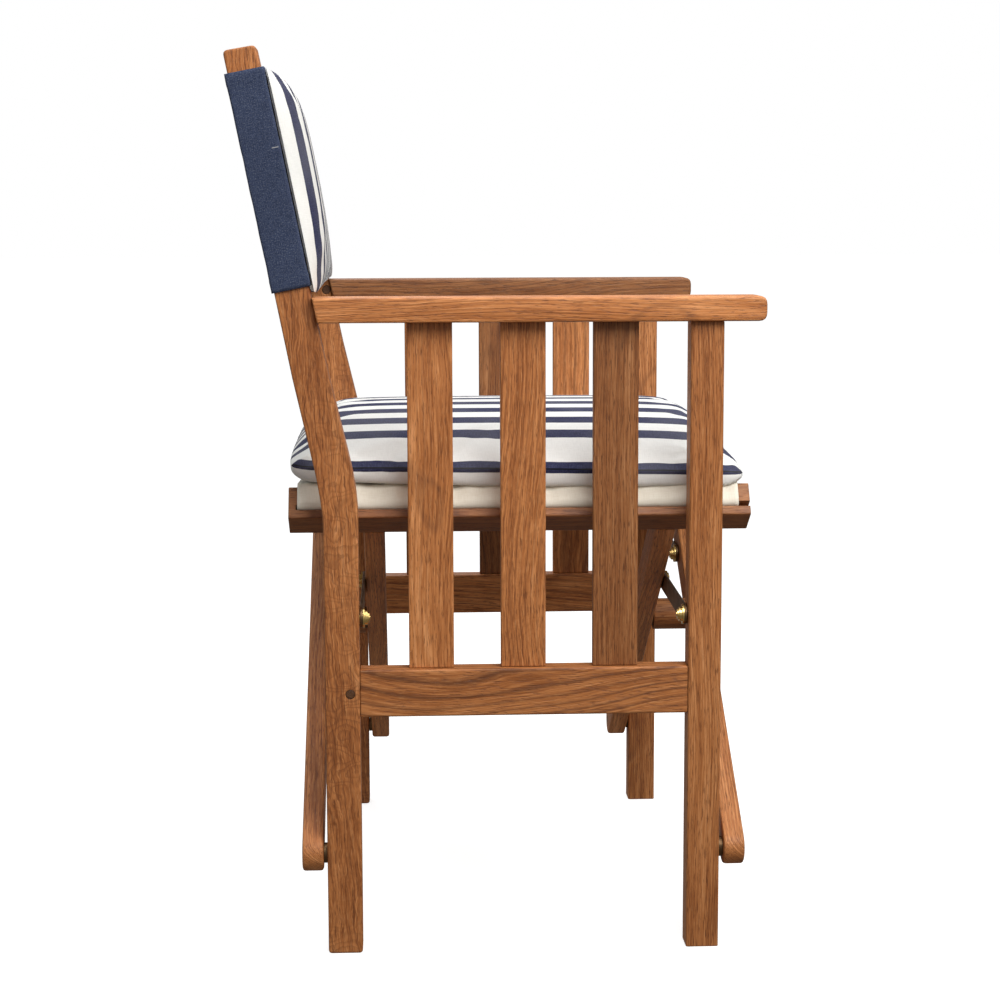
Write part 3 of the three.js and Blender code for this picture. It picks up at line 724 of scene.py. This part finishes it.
def panel_shape(u, v, face, fill):
    """The striped panel: flat against the sleeves' fronts, and bulging back between them.

    Its filling is thicker towards the right sleeve, as the photo's outline asks, and low down at
    the back, where the seat's rails go into it when the chair is folded.
    """
    low = PANEL_FROM + LOW_RISE * np.abs(u) ** 6
    high = PANEL_TO - TOP_SAG * (1 - u ** 2)
    x = PANEL_HALF * u
    z = (low + high) / 2 + (high - low) / 2 * v
    away_x = PANEL_HALF - np.abs(x)
    away_low, away_high = z - low, high - z
    crown = grown(away_x, 0.030) * grown(away_low, 0.032) * grown(away_high, 0.015)
    crown = crown * (PANEL_SHARE - PANEL_LEAN * u)
    open_back = grown(np.maximum(BETWEEN_SLEEVES - np.abs(x), 0.0), 0.016)
    settled = np.clip(1.0 - away_low / 0.110, 0.0, 1.0)
    settled = settled * grown(np.maximum(CLEAR_WIDTH - np.abs(x), 0.0), 0.010)
    bulge = (PANEL_BACK + PANEL_SETTLED * settled) * open_back
    bulge = bulge * grown(away_low, 0.006) * grown(away_high, 0.010)
    seam = PANEL_SEAM + 0.0015 * open_back
    front = seam - fill * PANEL_CROWN * crown
    back = seam + 0.0009 * grown(away_x, 0.004) + fill * bulge
    return on_slope(x, np.where(face > 0, front, back), z)


def panel_calm(form, face):
    """How much of the folds the panel takes: none at the seams or over the sleeves' fronts."""
    from_middle = np.abs(form[:, 0])
    from_seam = np.clip((PANEL_HALF - from_middle) / CALM_REACH, 0.0, 1.0)
    from_sleeve = np.clip((BETWEEN_SLEEVES - from_middle) / CALM_REACH, 0.0, 1.0)
    return FOLDS_KEPT * np.where(face > 0, from_seam, from_sleeve)


STRIPE = 0.022            # width of a navy band, and of the white between two


def bands_from(first, ends, edge=()):
    """Navy bands of the cloth, as distances from the side seam: the first, and then evenly on."""
    count = int((ends - first) / (2 * STRIPE)) + 1
    return list(edge) + [(first + 2 * STRIPE * k, first + 2 * STRIPE * k + STRIPE) for k in range(count)]


WHITE, OFF_WHITE = (0.81, 0.815, 0.795), (0.74, 0.745, 0.725)
# seam gives the width of the seat cloth's painted crease shadow
STRIPED_SEAT = canvas("striped_canvas_seat", WHITE, OFF_WHITE,
                      bands_from(0.058, 0.24, [(-0.001, 0.012)]), seam=0.0024)
STRIPED_BACK = canvas("striped_canvas_back", WHITE, OFF_WHITE, bands_from(0.0225, 0.31))

cushion = pillow("cushion", 92, 88, cushion_shape, 1.03, STRIPED_SEAT,
                 pressure=4.0, cap=0.026, under_shift=0.007)
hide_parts("seat_cushion")

panel = pillow("panel", 80, 36, panel_shape, 1.02, STRIPED_BACK,
               pressure=4.0, cap=0.022, calm=panel_calm)
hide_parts("back_panel")
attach(panel, "right_frame")


# seat sling: out of the groove in one rail, over it, across, and into the other rail
SLING_Y = (-0.2405, 0.1975)
# its line on the rail, as (out from the outer face, up across the leg), then towards the middle
ON_RAIL = ((-0.0060, -0.0055), (-0.0012, -0.0075), (0.0012, -0.0050), (0.0012, 0.0060),
           (0.0010, 0.0150), (-0.0012, 0.0186))
ON_SPAN = ((0.200, 0.4602), (0.150, 0.4568), (0.075, 0.4546))
SLING_MIDDLE = (0.0, 0.4538)
SLING_POINTS = (121, 111)   # along its line and across it
SLING_SEED = 7
CREASES = np.arange(-3, 3) * 0.0885 + 0.038   # where the cloth is drawn tight over a rail
CREASE_HALF = 0.011
PUFF = 0.0022             # how far the cloth stands off the rail between them
WAVE = 0.0012             # depth of its finer waves


def on_leg(along, across):
    """X and Z of a point on a leg that rises to the left, from the crossing."""
    c, s = math.sin(LEG_ANGLE), math.cos(LEG_ANGLE)
    return along * c - across * s, CROSS_Z + along * s + across * c


def sling_path():
    half = [on_leg(RAIL_OUTER + out, across) for out, across in ON_RAIL] + list(ON_SPAN)
    return np.array([(-x, z) for x, z in half] + [SLING_MIDDLE] + half[::-1])


def evenly(points, count):
    """Evenly spaced points on the line through the given ones."""
    at = arc(points)
    even = np.linspace(0, at[-1], count)
    return np.stack([np.interp(even, at, points[:, k]) for k in range(2)], axis=1)


def smooth_line(points, count):
    """Evenly spaced points on a rounded line through the given ones."""
    line = evenly(points, 12 * count)
    for _ in range(30):
        line[1:-1] = 0.25 * line[:-2] + 0.5 * line[1:-1] + 0.25 * line[2:]
    return evenly(line, count)


def make_sling():
    line = smooth_line(sling_path(), SLING_POINTS[0])
    at = arc(line)
    turn = np.gradient(line, axis=0)
    turn /= np.linalg.norm(turn, axis=1, keepdims=True)
    outward = np.stack([-turn[:, 1], turn[:, 0]], axis=1)
    across = np.linspace(SLING_Y[0], SLING_Y[1], SLING_POINTS[1])
    rng = np.random.default_rng(SLING_SEED)
    from_end = np.minimum(at, at[-1] - at)
    # soft waves where the cloth turns over each rail, and puffs on the rail between the creases
    strength = np.exp(-((from_end - 0.026) / 0.018) ** 2)
    round_rail = grown(np.maximum(from_end - 0.006, 0.0), 0.006)
    round_rail = round_rail * np.exp(-(np.maximum(from_end - 0.034, 0.0) / 0.012) ** 2)
    nearest = np.abs(across[:, None] - CREASES[None, :]).min(axis=1)
    puffs = 1.0 - np.exp(-(nearest / CREASE_HALF) ** 2)
    waves = [(rng.uniform(18, 60), rng.uniform(0, 6.3), rng.uniform(0.3, 1.0)) for _ in range(14)]
    right_waves, left_waves = waves[:7], waves[7:]
    edge = np.minimum(across - SLING_Y[0], SLING_Y[1] - across)
    gather = np.exp(-edge / 0.012) * np.sin(across * 900.0) * 0.4
    points, uv = [], []
    for i, (x, z) in enumerate(line):
        mine = right_waves if x < 0 else left_waves
        ripple = sum(k * np.sin(f * across * 2 * np.pi + p) for f, p, k in mine) / 4.0
        lift = WAVE * strength[i] * (ripple + gather) + PUFF * round_rail[i] * puffs
        for j, y in enumerate(across):
            points.append((x + outward[i, 0] * lift[j], y, z + outward[i, 1] * lift[j]))
            uv.append((at[i] - at[-1] / 2, y))
    grid = np.arange(len(points)).reshape(len(line), len(across))
    corners = [grid[:-1, :-1], grid[1:, :-1], grid[1:, 1:], grid[:-1, 1:]]
    quads = np.stack(corners, axis=-1).reshape(-1, 4)
    uv = np.array(uv)
    o = new_piece("sling", points, quads, uv[quads].reshape(-1, 2), CREAM)
    thicken(o, CANVAS, 0.0)
    return o, at[-1]


sling, sling_length = make_sling()
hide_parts("seat_sling")


# canvas sleeves round the tops of the rear posts
SLEEVE_X, SLEEVE_Y = (0.2553, 0.2867), (0.0009, 0.0382)
SLEEVE_FROM, SLEEVE_TO = 0.0410, 0.2500
SLEEVE_CORNER = 0.0018    # radius of its corners
HEM = 0.0105              # height of the hem at each end
HEM_RISE = 0.00045
SLACK = 0.0004            # depth of its waves
SLEEVE_POINTS = (97, 61)  # round the post, counting the first again, and up it
RIGHT_SEED, LEFT_SEED = 11, 12


def sleeve_ring():
    """The sleeve's line round the post, closed, from the corner that is outermost and rearmost."""
    (x0, x1), (y0, y1), r = SLEEVE_X, SLEEVE_Y, SLEEVE_CORNER
    corners = ((x1 - r, y1 - r, 0), (x0 + r, y1 - r, 90), (x0 + r, y0 + r, 180), (x1 - r, y0 + r, 270))
    ring = []
    for x, y, start in corners:
        for turn in np.radians(np.linspace(start, start + 90, 6)):
            ring.append((x + r * math.cos(turn), y + r * math.sin(turn)))
    return evenly(np.array(ring + ring[:1]), SLEEVE_POINTS[0])


def make_sleeve(side):
    """side is -1 for the right sleeve and 1 for the left one."""
    ring = sleeve_ring()
    at = arc(ring)
    heights = np.linspace(SLEEVE_FROM, SLEEVE_TO, SLEEVE_POINTS[1])
    rng = np.random.default_rng(RIGHT_SEED if side < 0 else LEFT_SEED)
    waves = [
        (rng.uniform(15, 55), rng.uniform(0, 6.3), rng.integers(1, 4), rng.uniform(0, 6.3))
        for _ in range(9)
    ]
    middle_x, middle_y = sum(SLEEVE_X) / 2, sum(SLEEVE_Y) / 2
    n = len(ring) - 1
    points = []
    for z in heights:
        hem = HEM_RISE if min(z - SLEEVE_FROM, SLEEVE_TO - z) < HEM else 0.0
        for k in range(n):
            x, y = ring[k]
            a = 2 * np.pi * at[k] / at[-1]
            wave = sum(math.sin(f * z * 2 * np.pi + p + m * a + q) for f, p, m, q in waves) / 9.0
            out = SLACK * wave + hem
            away = math.hypot(x - middle_x, y - middle_y)
            points.append((x + (x - middle_x) / away * out, y + (y - middle_y) / away * out, z))
    points = np.array(points)
    world = on_slope(side * points[:, 0], points[:, 1], points[:, 2])
    quads, uv = [], []
    for i in range(len(heights) - 1):
        low, high = heights[i], heights[i + 1]
        for k in range(n):
            m = (k + 1) % n
            quad = (i * n + k, i * n + m, (i + 1) * n + m, (i + 1) * n + k)
            corner = ((at[k], low), (at[k + 1], low), (at[k + 1], high), (at[k], high))
            if side < 0:
                quad, corner = quad[::-1], corner[::-1]
            quads.append(quad)
            uv.extend(corner)
    name = "right_sleeve" if side < 0 else "left_sleeve"
    o = new_piece(name, world, quads, uv, NAVY)
    thicken(o, SLEEVE_CANVAS, -1.0)
    return o, at[-1], SLEEVE_TO - SLEEVE_FROM


for side, hand in ((-1, "right"), (1, "left")):
    sleeve, girth, tall = make_sleeve(side)
    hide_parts(f"{hand}_back_sleeve")
    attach(sleeve, f"{hand}_frame")

for piece in (sling, cushion):
    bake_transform(piece)
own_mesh(panel)


# ---------------------------------------------------------------- floor
FLOOR_HALF = 30.0


def plain_floor():
    """White paper that is seen as plain white and sends no light back up to the chair."""
    bm = bmesh.new()
    bmesh.ops.create_grid(bm, x_segments=1, y_segments=1, size=FLOOR_HALF)
    mesh = bpy.data.meshes.new("floor")
    bm.to_mesh(mesh)
    bm.free()
    o = bpy.data.objects.new("floor", mesh)
    bpy.context.scene.collection.objects.link(o)
    s = Shade("floor_paper")
    paper = s.set(Base_Color=(0.50, 0.50, 0.50), Roughness=0.95, Specular_IOR_Level=0.0,
                  Emission_Color=(1.0, 1.0, 1.0), Emission_Strength=0.80)
    o.data.materials.append(paper)
    o.visible_diffuse = False
    o.visible_glossy = False


plain_floor()
